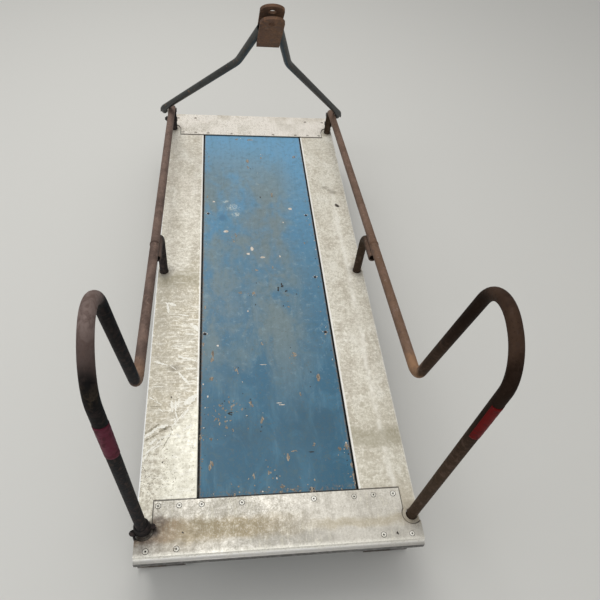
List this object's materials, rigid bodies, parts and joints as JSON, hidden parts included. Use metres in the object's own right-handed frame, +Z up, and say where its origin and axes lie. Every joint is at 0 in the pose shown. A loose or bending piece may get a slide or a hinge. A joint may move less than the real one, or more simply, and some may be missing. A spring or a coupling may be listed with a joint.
{
  "type": "snowmobile tow sled",
  "caption": "Snowmobile tow sled: worn aluminium and blue plywood deck on steel skis, bent pipe side rails with push hoops, and a hinged V drawbar folded back.",
  "frame": {"origin": "on the floor, under the centre of the bounding box at rest, drawbar folded back", "axes": "+X to the sled's right, +Y forward to the drawbar end, +Z up"},
  "size_m": [0.6076, 1.6042, 0.8383],
  "materials": {
    "aluminium_planks": "weathered, scratched and stained",
    "aluminium_plates": "weathered, scratched and stained",
    "blue_plywood": "worn blue paint on plywood",
    "rusty_pipe": "brown surface rust",
    "weld_bead": "brown surface rust",
    "runner_steel": "brown surface rust",
    "ski_steel": "worn bare steel with rust",
    "black_tube": "chipped black paint",
    "hitch_steel": "brown surface rust",
    "zinc_plate": "dull zinc plate",
    "dark_bolt": "dark oiled steel"
  },
  "bodies": {
    "sled": {"bearer_front": "runner_steel", "bearer_middle": "runner_steel", "bearer_rear": "runner_steel", "brace_front_left": "runner_steel", "brace_front_right": "runner_steel", "brace_rear_left": "runner_steel", "brace_rear_right": "runner_steel", "deck_panel": "blue_plywood", "deck_plank_left": "aluminium_planks", "deck_plank_right": "aluminium_planks", "front_plate": "aluminium_plates", "front_rail_left": "rusty_pipe", "front_rail_right": "rusty_pipe", "hoop_left": "rusty_pipe", "hoop_right": "rusty_pipe", "middle_post_left": "rusty_pipe", "middle_post_right": "rusty_pipe", "pivot_bolt_left": "dark_bolt", "pivot_bolt_right": "dark_bolt", "pivot_plate_left": "zinc_plate", "pivot_plate_right": "zinc_plate", "pivot_washer_left": "zinc_plate", "pivot_washer_right": "zinc_plate", "plank_ribs_left": "aluminium_planks", "plank_ribs_right": "aluminium_planks", "plate_bolt_left": "dark_bolt", "plate_bolt_right": "dark_bolt", "rail_weld_left": "weld_bead", "rail_weld_right": "weld_bead", "rear_plate": "aluminium_plates", "ski_left": "ski_steel", "ski_right": "ski_steel", "ski_spine_left": "runner_steel", "ski_spine_right": "runner_steel", "spreader_front": "runner_steel", "spreader_rear": "runner_steel", "wear_bar_left": "ski_steel", "wear_bar_right": "ski_steel"},
    "drawbar": {"clevis_lower": "hitch_steel", "clevis_upper": "hitch_steel", "drawbar_arm_left": "black_tube", "drawbar_arm_right": "black_tube"}
  },
  "joints": [
    {"name": "drawbar_hinge", "type": "hinge", "parent": "sled", "child": "drawbar", "pos_m": [0, 0.6116, 0.262], "axis": [-1, 0, 0], "range_deg": [0, 150]}
  ]
}
